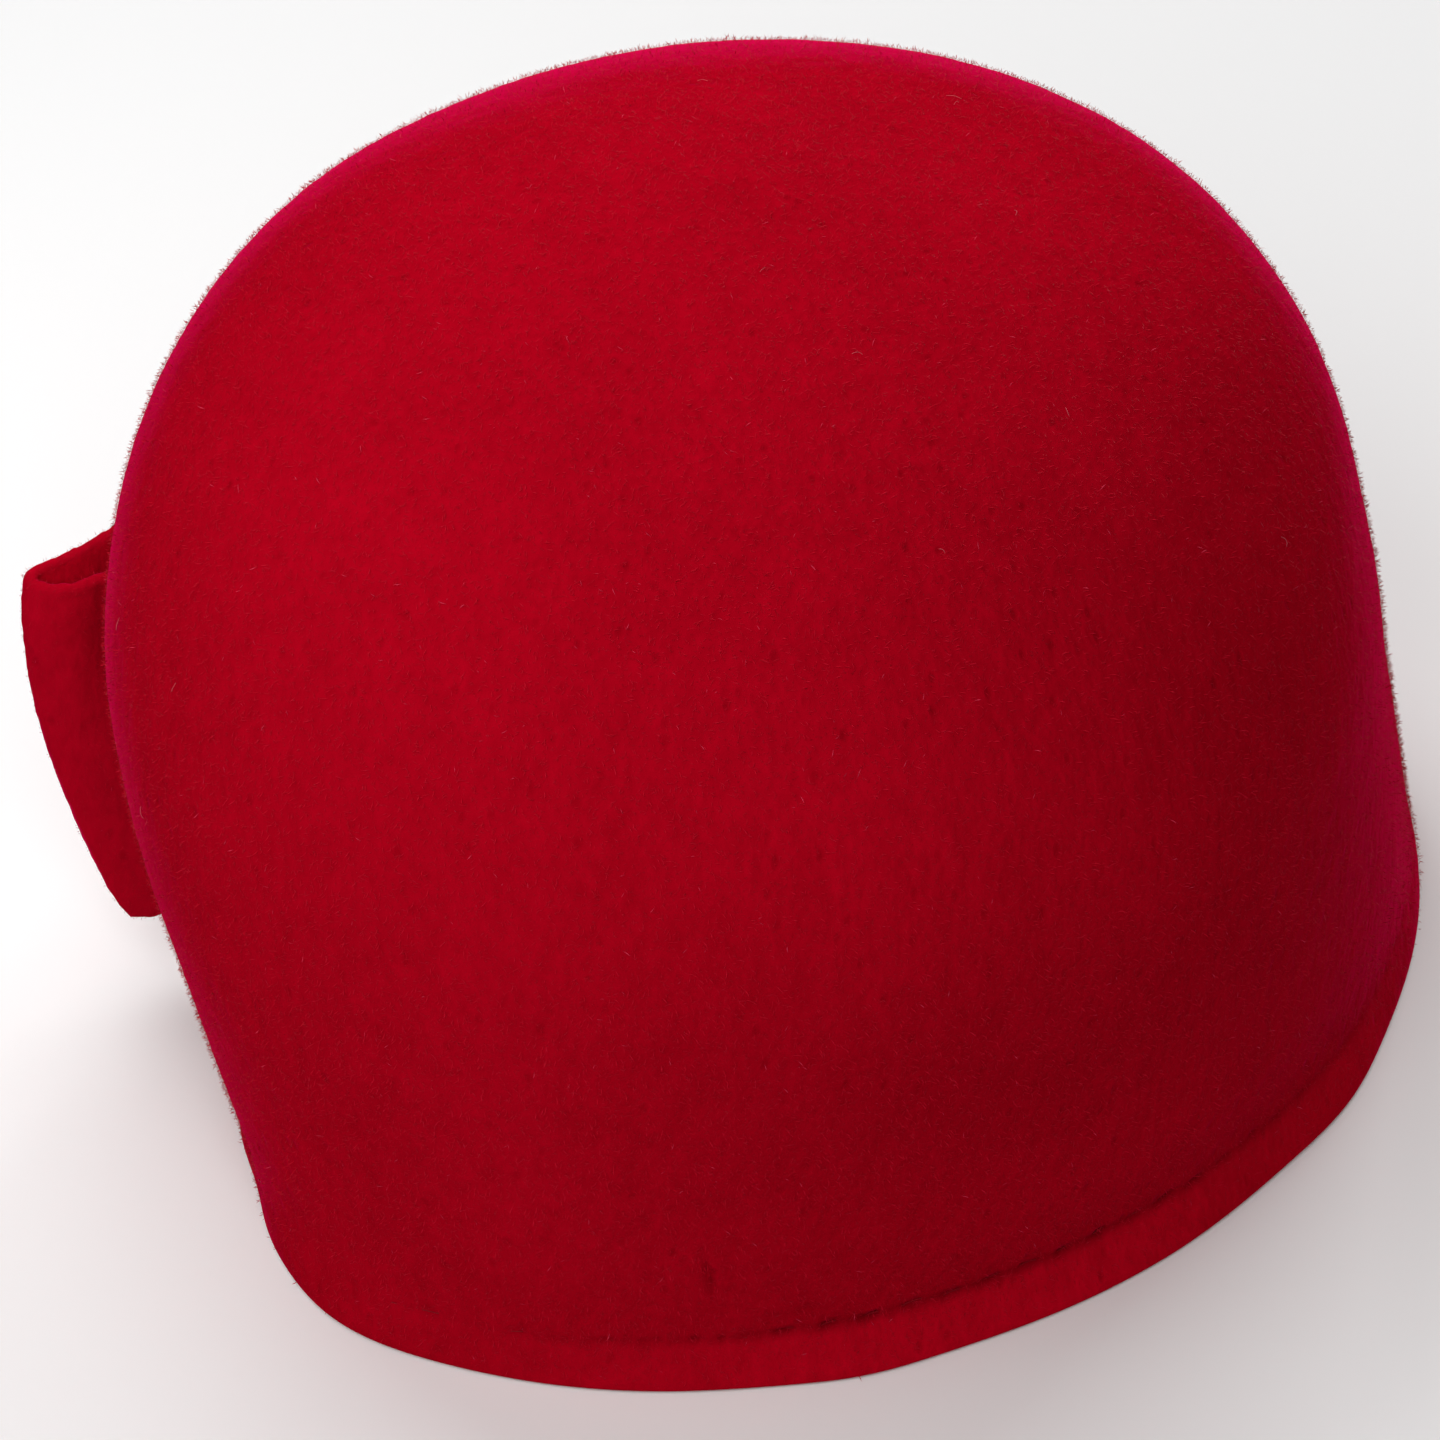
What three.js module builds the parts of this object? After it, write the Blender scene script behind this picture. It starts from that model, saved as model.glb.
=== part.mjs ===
// Felt cloche: a blocked crown with a turned-in hem, and a bow of two loops held by a knot.
// Millimetres, +Z up. The rim lies on z = 0 and the origin is the middle of the head opening.
// The wearer's front is -Y and the wearer's left is +X.
import * as THREE from 'three';

// Felt
const crownFelt = 2.4;
const bowFelt = 2.0;
const seatGap = 0.35; // clearance between one piece and the next

// Crown: oval sections from the rim to the apex, each measured from its own widest line
const crownSections = [
  { height: 0, halfWidth: 79, toBack: 105, toFront: 115 },
  { height: 10, halfWidth: 78, toBack: 104, toFront: 114.5 },
  { height: 32, halfWidth: 83, toBack: 105, toFront: 109 },
  { height: 65, halfWidth: 88.5, toBack: 107, toFront: 101.5 },
  { height: 94, halfWidth: 90, toBack: 104, toFront: 97.5 },
  { height: 120, halfWidth: 83, toBack: 92.5, toFront: 94 },
  { height: 141, halfWidth: 66.5, toBack: 73.5, toFront: 78 },
  { height: 155.5, halfWidth: 37, toBack: 45.5, toFront: 45 },
  { height: 162, halfWidth: 0, toBack: 0, toFront: 0 },
];
const widestLine = 5; // the rim's widest line lies this far behind the middle of the opening
const leanBack = 22; // the apex leans this much further back
const leanLeft = 9.5; // and this much towards the bow
const rimPower = 1.9; // superellipse power of the rim oval, which rises to 2 at half height

// Hem: the edge turned up inside the wall, with a narrow slit between the two layers
const hemWidth = 9.5;
const hemSlit = 0.5;
const hemBulge = 0.5;
const seamDip = 0.6;
const seamReach = 1.6;
const edgeRound = 0.9;
const seamClear = 4; // the plain wall starts this far above the hem
const squareFrom = 28; // above this height the felt's thickness is square to the wall

// Dents pressed into the felt, and bulges with a depth below zero: azimuth in degrees from the wearer's
// left round by the back, height above the rim, reach across and up the wall, and depth
const dents = [
  { name: 'dart', azimuth: 132.5, height: 24, across: 1.9, up: 7, depth: 1.5 },
  { name: 'dart pucker', azimuth: 136, height: 38, across: 11, up: 6, depth: 0.6 },
  { name: 'dart side hollow', azimuth: 128, height: 28, across: 6, up: 10, depth: 0.5 },
  { name: 'crown dimple', azimuth: 262, height: 157, across: 18, up: 15, depth: 1.9 },
  { name: 'rim hollow by the bow', azimuth: 66, height: 1, across: 10, up: 10, depth: 1.4 },
  { name: 'rim bulge at the back', azimuth: 92, height: 1, across: 16, up: 10, depth: -1.7 },
  { name: 'rim bulge past the dart', azimuth: 146, height: 1, across: 12, up: 9, depth: -1.0 },
  { name: 'rim bulge on the right', azimuth: 203, height: 1, across: 16, up: 12, depth: -1.3 },
];

// Bow: placed on the wearer's left, a little towards the back
const bowAzimuth = 17;
const bowHeight = 47.5; // middle of the bow above the rim
const bandWidth = 67;
const openedShare = 0.45; // of the way from knot to fold, where the band has its full width
const pinchedShare = 0.72; // width left where the knot gathers the band
const foldBelly = 2.7; // the fold lifts this much more at half width
const foldLean = -4.5; // and this much more at the top edge than at the bottom edge

// One loop of the band in plan: corners of its middle line along the crown from the knot and out from the
// crown, how far each bend reaches from its corner, the share of the fold's lift that the corner takes,
// and how far it swings along the crown from the bottom edge to the top edge
const loopCorners = [
  { name: 'bend by the knot', along: 25, out: 7.2, bend: 9, lifted: 0, swung: 0 },
  { name: 'fold', along: 39, out: 20.2, bend: 3.8, lifted: 1, swung: 0 },
  { name: 'blunt end', along: 38.3, out: 11.5, bend: 4.2, lifted: 0.5, swung: 5 },
  { name: 'heel', along: 31.5, out: 2.6, bend: 4.5, lifted: 0, swung: 0 },
];
const loopReach = loopCorners[1].along;

// Knot: a narrow strip wrapped round the middle of the band
const layerGap = 0.5; // between the two layers of the band at the knot
const knotWidth = 18;
const knotDepth = 3.4; // half of the clear depth inside the knot
const knotSlack = 1.2; // room inside the knot above and below the band
const knotRound = 2; // inner corner radius of the knot's loop
const knotSwell = 0.8; // the knot's front stands out this much more at half height

// Mesh fineness
const crownColumns = 80;
const columnGather = 0.62; // draws the columns together at the dart
const wallSteps = 16;
const loopSteps = 33;
const bandRows = 6;
const knotCornerSteps = 4;
const knotSideSteps = 6;
const knotRows = 4;
const walkStride = 0.5; // degrees
const halvings = 40;
const dentRange = 4; // a dent is worked out within this many times its reach

const crownHeight = crownSections.at(-1).height;
const apexRow = crownSections.length - 1;
const bowSeat = knotDepth + bowFelt + seatGap; // middle plane of the band over the crown
const radians = THREE.MathUtils.degToRad;

// Catmull-Rom value of one column of the section table, mirrored past the apex
function sectionValue(column, row) {
  const mirror = column === 'height' ? 1 : -1;
  const at = (k) => {
    if (k < 0) return 2 * crownSections[0][column] - crownSections[1][column];
    if (k > apexRow) return mirror * crownSections[2 * apexRow - k][column];
    return crownSections[k][column];
  };
  const k = THREE.MathUtils.clamp(Math.floor(row), 0, apexRow - 1);
  const t = row - k;
  const [a, b, c, d] = [at(k - 1), at(k), at(k + 1), at(k + 2)];
  return b + 0.5 * t * (c - a + t * (2 * a - 5 * b + 4 * c - d + t * (3 * b - a - 3 * c + d)));
}

// Row position of a height on the wall, found by halving
function rowAt(height) {
  let low = 0;
  let high = apexRow;
  for (let turn = 0; turn < halvings; turn += 1) {
    const middle = (low + high) / 2;
    if (sectionValue('height', middle) < height) low = middle;
    else high = middle;
  }
  return (low + high) / 2;
}

// Outer face of the smooth blocked form
function formPoint(azimuth, row) {
  const height = sectionValue('height', row);
  const rise = height / crownHeight;
  const power = THREE.MathUtils.lerp(rimPower, 2, Math.min(2 * rise, 1));
  const bend = (value) => Math.sign(value) * Math.abs(value) ** (2 / power);
  const across = bend(Math.cos(azimuth));
  const along = bend(Math.sin(azimuth));
  const length = sectionValue(along > 0 ? 'toBack' : 'toFront', row);
  const x = leanLeft * rise + sectionValue('halfWidth', row) * across;
  const y = widestLine + leanBack * rise + length * along;
  return new THREE.Vector3(x, y, height);
}

function formNormal(azimuth, row) {
  const step = 1e-3;
  const across = formPoint(azimuth + step, row).sub(formPoint(azimuth - step, row));
  const upward = formPoint(azimuth, row + step).sub(formPoint(azimuth, row - step));
  return across.cross(upward).normalize();
}

// Each dent's middle on the form, with the directions sideways and up the wall there
const dentFrames = dents.map((dent) => {
  const azimuth = radians(dent.azimuth);
  const row = rowAt(dent.height);
  const normal = formNormal(azimuth, row);
  const sideways = new THREE.Vector3(-normal.y, normal.x, 0).normalize();
  const upward = new THREE.Vector3().crossVectors(normal, sideways);
  return { ...dent, middle: formPoint(azimuth, row), sideways, upward };
});

// How far the felt stands proud of the form: the hem's roll, its stitched groove and the dents
function relief(point) {
  const bell = (distance, reach) => Math.exp(-((distance / reach) ** 2));
  let proud = hemBulge * bell(point.z - hemWidth / 2, hemWidth / 2);
  proud -= seamDip * bell(point.z - hemWidth, seamReach);
  for (const { middle, sideways, upward, across, up, depth } of dentFrames) {
    const offset = point.clone().sub(middle);
    const near = offset.length() < dentRange * Math.max(across, up);
    if (near) proud -= depth * bell(offset.dot(sideways), across) * bell(offset.dot(upward), up);
  }
  return proud;
}

// A point of the crown's felt, a given depth in from its outer face: level in the hem, square above it
function feltPoint(azimuth, row, inset) {
  const point = formPoint(azimuth, row);
  const square = formNormal(azimuth, row);
  square.z *= THREE.MathUtils.smoothstep(point.z, hemWidth, squareFrom);
  return point.addScaledVector(square.normalize(), relief(point) - inset);
}

// Collects triangles and closes them into one indexed geometry
class Skin {
  points = [];
  faces = [];

  add(point) {
    this.points.push(point.x, point.y, point.z);
    return this.points.length / 3 - 1;
  }

  quad(a, b, c, d) {
    this.faces.push(a, b, c, a, c, d);
  }

  // Quads between two closed rings of vertex numbers
  band(lower, upper) {
    lower.forEach((start, k) => {
      const next = (k + 1) % lower.length;
      this.quad(start, lower[next], upper[next], upper[k]);
    });
  }

  geometry() {
    const geometry = new THREE.BufferGeometry();
    geometry.setAttribute('position', new THREE.Float32BufferAttribute(this.points, 3));
    geometry.setIndex(this.faces);
    geometry.computeVertexNormals();
    return geometry;
  }
}

function feltMesh(name, geometry, colour) {
  const material = new THREE.MeshStandardMaterial({ color: colour, roughness: 0.95, metalness: 0 });
  const mesh = new THREE.Mesh(geometry, material);
  mesh.name = name;
  return mesh;
}

// The crown is one closed skin: from the inner apex down the inside, round the hem and up to the apex
function crown() {
  const skin = new Skin();
  const hemInner = 2 * crownFelt + hemSlit;
  const inside = [];
  const outside = [];
  const wallFoot = rowAt(hemWidth + seamClear);
  for (let k = 0; k < wallSteps; k += 1) {
    const row = THREE.MathUtils.lerp(wallFoot, apexRow, k / wallSteps);
    inside.unshift({ row, inset: crownFelt });
    outside.push({ row, inset: 0 });
  }
  const rings = [
    ...inside,
    { row: rowAt(hemWidth), inset: crownFelt },
    { row: rowAt(hemWidth / 2), inset: crownFelt },
    { row: rowAt(crownFelt), inset: crownFelt },
    { row: rowAt(crownFelt), inset: crownFelt + hemSlit },
    { row: rowAt(hemWidth / 2), inset: crownFelt + hemSlit },
    { row: rowAt(hemWidth), inset: crownFelt + hemSlit },
    { row: rowAt(hemWidth), inset: hemInner },
    { row: rowAt(hemWidth / 2), inset: hemInner },
    { row: rowAt(edgeRound), inset: hemInner },
    { row: 0, inset: hemInner - edgeRound },
    { row: 0, inset: edgeRound },
    { row: rowAt(edgeRound), inset: 0 },
    { row: rowAt(hemWidth / 3), inset: 0 },
    { row: rowAt(hemWidth * 2 / 3), inset: 0 },
    { row: rowAt(hemWidth), inset: 0 },
    ...outside,
  ];
  const numbers = rings.map(({ row, inset }) => Array.from({ length: crownColumns }, (_, k) => {
    const even = 2 * Math.PI * k / crownColumns;
    const azimuth = even - columnGather * Math.sin(even - radians(dents[0].azimuth));
    const point = feltPoint(azimuth, row, inset);
    if (row === 0) point.z = 0;
    return skin.add(point);
  }));
  for (let k = 1; k < numbers.length; k += 1) skin.band(numbers[k - 1], numbers[k]);
  const apex = new THREE.Vector3(leanLeft, widestLine + leanBack, crownHeight);
  const outerApex = skin.add(apex);
  const innerApex = skin.add(apex.clone().setZ(crownHeight - crownFelt));
  for (let k = 0; k < crownColumns; k += 1) {
    const next = (k + 1) % crownColumns;
    skin.faces.push(numbers.at(-1)[k], numbers.at(-1)[next], outerApex);
    skin.faces.push(numbers[0][next], numbers[0][k], innerApex);
  }
  return feltMesh('crown', skin.geometry(), 0x9c0118);
}

// Azimuth reached by walking a length along the crown's section at the bow's height
function walkAzimuth(length) {
  const row = rowAt(bowHeight);
  const stride = Math.sign(length) * radians(walkStride);
  let azimuth = radians(bowAzimuth);
  let left = Math.abs(length);
  while (left > 0) {
    const pace = formPoint(azimuth, row).distanceTo(formPoint(azimuth + stride, row));
    azimuth += stride * Math.min(1, left / pace);
    left -= pace;
  }
  return azimuth;
}

// A point of the bow: along the crown from the knot, level out from the crown, and its height
function bowPoint(along, out, height) {
  const azimuth = walkAzimuth(along);
  const row = rowAt(height);
  const level = formNormal(azimuth, row).setZ(0).normalize();
  return formPoint(azimuth, row).addScaledVector(level, out);
}

// Middle line of the band at one level: out along the outer wall to a fold and back along the inner
// wall, first on one side of the knot and then on the other
function bandLine(level) {
  const lift = foldBelly * (1 - (2 * level - 1) ** 2) + foldLean * (level - 0.5);
  const apart = (bowFelt + layerGap) / 2;
  const start = new THREE.Vector2(0, bowSeat + apart);
  const end = new THREE.Vector2(0, bowSeat - apart);
  const corners = loopCorners.map(({ along, out, lifted, swung }) =>
    new THREE.Vector2(along + swung * (level - 0.5), out + lifted * lift));
  const path = new THREE.Path().moveTo(start.x, start.y);
  corners.forEach((corner, k) => {
    const towards = (other) => other.clone().sub(corner).setLength(loopCorners[k].bend).add(corner);
    const enter = towards(corners[k - 1] ?? start);
    const leave = towards(corners[k + 1] ?? end);
    path.lineTo(enter.x, enter.y).quadraticCurveTo(corner.x, corner.y, leave.x, leave.y);
  });
  path.lineTo(end.x, end.y);
  const line = [];
  for (const side of [1, -1]) {
    for (let k = 0; k < loopSteps; k += 1) {
      const share = (k + 0.5) / loopSteps;
      const point = path.getPoint(side > 0 ? share : 1 - share);
      line.push({ along: side * point.x, out: point.y });
    }
  }
  return line;
}

// Points half a felt to either side of a closed line in the along and out plane
function offsetLine(line, distance) {
  return line.map((here, k) => {
    const before = line.at(k - 1);
    const after = line[(k + 1) % line.length];
    const run = after.along - before.along;
    const rise = after.out - before.out;
    const length = Math.hypot(run, rise);
    return {
      along: here.along - distance * rise / length,
      out: here.out + distance * run / length,
    };
  });
}

function bowBand() {
  const skin = new Skin();
  const level = (k) => k / bandRows;
  const height = (along, share) => {
    const beyond = Math.max(0, Math.abs(along) - knotWidth / 2) / (loopReach - knotWidth / 2);
    const opened = THREE.MathUtils.smoothstep(beyond, 0, openedShare);
    return bowHeight + (share - 0.5) * bandWidth * THREE.MathUtils.lerp(pinchedShare, 1, opened);
  };
  const face = (distance) => Array.from({ length: bandRows + 1 }, (_, k) =>
    offsetLine(bandLine(level(k)), distance).map(({ along, out }) =>
      skin.add(bowPoint(along, out, height(along, level(k))))));
  const outer = face(bowFelt / 2);
  const inner = face(-bowFelt / 2);
  for (let k = 0; k < bandRows; k += 1) {
    skin.band(outer[k], outer[k + 1]);
    skin.band(inner[k + 1], inner[k]);
  }
  skin.band(inner[0], outer[0]);
  skin.band(outer[bandRows], inner[bandRows]);
  return feltMesh('bow_band', skin.geometry(), 0x8f0116);
}

// Round-cornered oblong of the knot's strip: up the wall and out from the band's middle plane
function knotLine(thickness) {
  const halfHeight = pinchedShare * bandWidth / 2 + knotSlack;
  const line = [];
  for (let quarter = 0; quarter < 4; quarter += 1) {
    const upSide = quarter === 0 || quarter === 3 ? 1 : -1;
    const outSide = quarter < 2 ? 1 : -1;
    for (let k = 0; k <= knotCornerSteps; k += 1) {
      const turn = Math.PI / 2 * (quarter + k / knotCornerSteps);
      line.push({
        up: upSide * (halfHeight - knotRound) + (knotRound + thickness) * Math.cos(turn),
        out: outSide * (knotDepth - knotRound) + (knotRound + thickness) * Math.sin(turn),
      });
    }
    const side = line.at(-1);
    const sideLength = 2 * side.up;
    const sidePoints = quarter % 2 === 0 ? knotSideSteps - 1 : 0;
    for (let k = 1; k <= sidePoints; k += 1) {
      line.push({ up: side.up - sideLength * k / knotSideSteps, out: side.out });
    }
  }
  return line.map(({ up, out }) => {
    const swell = out > 0 ? knotSwell * Math.cos(Math.PI / 2 * up / (halfHeight + thickness)) : 0;
    return { up, out: out + swell };
  });
}

function bowKnot() {
  const skin = new Skin();
  const face = (thickness) => Array.from({ length: knotRows + 1 }, (_, k) => {
    const along = knotWidth * (k / knotRows - 0.5);
    return knotLine(thickness).map(({ up, out }) =>
      skin.add(bowPoint(along, bowSeat + out, bowHeight + up)));
  });
  const outer = face(bowFelt);
  const inner = face(0);
  for (let k = 0; k < knotRows; k += 1) {
    skin.band(outer[k], outer[k + 1]);
    skin.band(inner[k + 1], inner[k]);
  }
  skin.band(inner[0], outer[0]);
  skin.band(outer[knotRows], inner[knotRows]);
  return feltMesh('bow_knot', skin.geometry(), 0x8f0116);
}

const cloche = new THREE.Group();
cloche.add(crown(), bowBand(), bowKnot());

export default cloche;
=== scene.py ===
import math

import bpy
import numpy as np
from mathutils import Matrix, Vector


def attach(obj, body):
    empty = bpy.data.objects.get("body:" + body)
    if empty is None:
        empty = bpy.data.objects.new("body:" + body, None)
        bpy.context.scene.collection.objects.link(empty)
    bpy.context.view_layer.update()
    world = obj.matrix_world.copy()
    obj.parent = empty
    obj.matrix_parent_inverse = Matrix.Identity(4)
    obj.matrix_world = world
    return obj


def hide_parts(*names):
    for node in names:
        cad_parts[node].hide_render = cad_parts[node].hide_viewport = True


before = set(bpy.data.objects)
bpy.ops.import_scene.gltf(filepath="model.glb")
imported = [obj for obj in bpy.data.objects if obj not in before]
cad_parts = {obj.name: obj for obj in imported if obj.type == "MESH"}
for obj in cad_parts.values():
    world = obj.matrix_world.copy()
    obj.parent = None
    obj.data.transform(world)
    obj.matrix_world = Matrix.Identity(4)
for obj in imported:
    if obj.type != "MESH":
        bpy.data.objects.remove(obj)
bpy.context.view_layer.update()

mm = 0.001  # sizes below are in millimetres unless a note says otherwise
print("frame loaded:", ", ".join(sorted(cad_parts)))


# One socket of a node tree; sums and products of sockets add Math nodes
class Socket:
    def __init__(self, tree, out=None):
        self.tree = tree
        self.out = out

    def node(self, kind, settings=None, values=None, out=0):
        made = self.tree.nodes.new(kind)
        for name, value in (settings or {}).items():
            setattr(made, name, value)
        for name, value in (values or {}).items():
            if isinstance(value, Socket):
                self.tree.links.new(value.out, made.inputs[name])
            else:
                made.inputs[name].default_value = value
        return Socket(self.tree, made.outputs[out] if made.outputs else None)

    def math(self, operation, first, second):
        return self.node("ShaderNodeMath", {"operation": operation}, {0: first, 1: second})

    def __add__(self, other):
        return self.math("ADD", self, other)

    def __radd__(self, other):
        return self.math("ADD", other, self)

    def __sub__(self, other):
        return self.math("SUBTRACT", self, other)

    def __rsub__(self, other):
        return self.math("SUBTRACT", other, self)

    def __mul__(self, other):
        return self.math("MULTIPLY", self, other)

    def __rmul__(self, other):
        return self.math("MULTIPLY", other, self)


# Felt: dyed wool with streaky grain, soft patches and small pits, with painted shade, painted light and a
# painted edge sheen laid over it
crownDye = {
    "light": (0.41, 0.0008, 0.0106),
    "deep": (0.26, 0.0005, 0.0058),
    "paintedShade": 0.48,  # times as bright where shade is painted: in the stitch dips, the crease, the dart and a darker patch
    "paintedLight": 1.6,  # times as bright where light is painted: on part of the hem, inside the bow's loops and on a lighter patch
    "paintedSheen": (0.57, 0.002, 0.058),  # painted sheen: the lighter, pinker colour given where the felt is seen edge on
    "paintedSheenFrom": 0.68,  # how far edge on the felt is where the painted sheen begins
    "paintedSheenLow": 0.22,  # share of the painted sheen low on the hat, where it is painted weaker than at the top
    "paintedSheenHeights": (60, 135),  # the share grows to 1 between these heights
    "sheen": (0.9, 0.006, 0.14),
    "sheenWeight": 0.24,
    "sheenRoughness": 0.24,
    "grainSize": 1.7,
    "streak": 0.55,  # the patterns' scale up the wall, which draws them out
    "patchSize": 5.0,
    "cloudSize": 42,
    "pitSize": 4.2,
    "pitEdge": (0.06, 0.2),
    "toneShares": {"grain": 0.6, "patch": 0.55, "cloud": 0.5, "pit": 0.3},
    "bumpShares": {"grain": 0.6, "patch": 0.7, "pit": 0.35},
    "bumpDepth": 0.5,
    "bumpStrength": 0.8,
    "roughness": 0.85,
    "roughnessSpread": 0.2,
}
bowDye = {**crownDye, "light": (0.42, 0.0009, 0.0128), "deep": (0.26, 0.0005, 0.0072)}


def feltMaterial(name, dye):
    material = bpy.data.materials.new(name)
    material.use_nodes = True
    tree = material.node_tree
    tree.nodes.clear()
    start = Socket(tree)
    place = start.node("ShaderNodeTexCoord", out="Object")
    drawn = start.node("ShaderNodeMapping", {}, {"Vector": place, "Scale": (1, 1, dye["streak"])})

    def noise(size, detail, roughness=0.55):
        values = {"Vector": drawn, "Scale": 1 / (size * mm), "Detail": detail, "Roughness": roughness}
        return start.node("ShaderNodeTexNoise", {}, values)

    grain = noise(dye["grainSize"], 1.0, 0.5)
    patch = noise(dye["patchSize"], 2.0)
    cloud = noise(dye["cloudSize"], 1.0)
    cells = {"Vector": drawn, "Scale": 1 / (dye["pitSize"] * mm)}
    pitDistance = start.node("ShaderNodeTexVoronoi", {}, cells, out="Distance")
    pitInner, pitOuter = dye["pitEdge"]
    limits = {"Value": pitDistance, 1: pitInner, 2: pitOuter, 3: 1.0, 4: 0.0}
    pit = start.node("ShaderNodeMapRange", {}, limits)
    shares = dye["toneShares"]
    tone = 0.5 + (grain - 0.5) * shares["grain"] + (patch - 0.5) * shares["patch"]
    tone = tone + (cloud - 0.5) * shares["cloud"] - pit * shares["pit"]
    shade = start.node("ShaderNodeClamp", {}, {"Value": tone})
    colours = {0: shade, 6: (*dye["deep"], 1), 7: (*dye["light"], 1)}
    dyed = start.node("ShaderNodeMix", {"data_type": "RGBA"}, colours, out=2)
    worn = dyed
    # Painted shade and painted light: the dyed colour is scaled darker or lighter where the shell's
    # attributes say
    for use in ("paintedLight", "paintedShade"):
        share = start.node("ShaderNodeAttribute", {"attribute_name": use}, out="Fac")
        changed = start.node("ShaderNodeVectorMath", {"operation": "SCALE"}, {0: dyed, "Scale": dye[use]})
        worn = start.node("ShaderNodeMix", {"data_type": "RGBA"}, {0: share, 6: worn, 7: changed}, out=2)
    # Painted sheen: towards the silhouette the colour turns to a lighter pink, more so high on the hat
    edgeOn = start.node("ShaderNodeLayerWeight", {}, {"Blend": 0.5}, out="Facing")
    limits = {"Value": edgeOn, 1: dye["paintedSheenFrom"], 2: 1.0, 3: 0.0, 4: 1.0}
    paintedSheenShare = start.node("ShaderNodeMapRange", {"interpolation_type": "SMOOTHSTEP"}, limits)
    above = start.node("ShaderNodeSeparateXYZ", {}, {"Vector": place}, out="Z")
    sheenBottom, sheenTop = dye["paintedSheenHeights"]
    limits = {"Value": above, 1: sheenBottom * mm, 2: sheenTop * mm, 3: dye["paintedSheenLow"], 4: 1.0}
    sheenByHeight = start.node("ShaderNodeMapRange", {}, limits)
    colours = {0: paintedSheenShare * sheenByHeight, 6: worn, 7: (*dye["paintedSheen"], 1)}
    colour = start.node("ShaderNodeMix", {"data_type": "RGBA"}, colours, out=2)
    shares = dye["bumpShares"]
    height = grain * shares["grain"] + patch * shares["patch"] - pit * shares["pit"]
    bumped = {"Height": height, "Strength": dye["bumpStrength"], "Distance": dye["bumpDepth"] * mm}
    felt = start.node("ShaderNodeBsdfPrincipled", {}, {
        "Base Color": colour,
        "Roughness": dye["roughness"] + (grain - 0.5) * dye["roughnessSpread"],
        "Normal": start.node("ShaderNodeBump", {}, bumped),
        "Specular IOR Level": 0.0,
        "Sheen Weight": dye["sheenWeight"],
        "Sheen Roughness": dye["sheenRoughness"],
        "Sheen Tint": (*dye["sheen"], 1),
    })
    start.node("ShaderNodeOutputMaterial", {}, {"Surface": felt})
    return material


# One wool fibre or thread is too fine for a pattern, so it has one shade
def fibreMaterial(name, colour, roughness):
    material = bpy.data.materials.new(name)
    material.use_nodes = True
    paint = material.node_tree.nodes["Principled BSDF"]
    paint.inputs["Base Color"].default_value = (*colour, 1)
    paint.inputs["Roughness"].default_value = roughness
    paint.inputs["Specular IOR Level"].default_value = 0.1
    return material


crownFelt = feltMaterial("crownFelt", crownDye)
bowFelt = feltMaterial("bowFelt", bowDye)
print("felt dyed")


def meshPiece(name, points, faces, material, edges=()):
    mesh = bpy.data.meshes.new(name)
    mesh.from_pydata((np.asarray(points) * mm).tolist(), edges, faces)
    mesh.materials.append(material)
    mesh.update()
    mesh.shade_smooth()
    piece = bpy.data.objects.new(name, mesh)
    bpy.context.scene.collection.objects.link(piece)
    return piece


def setPointValues(piece, name, values):
    piece.data.attributes.new(name, "FLOAT", "POINT").data.foreach_set("value", values)


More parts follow.
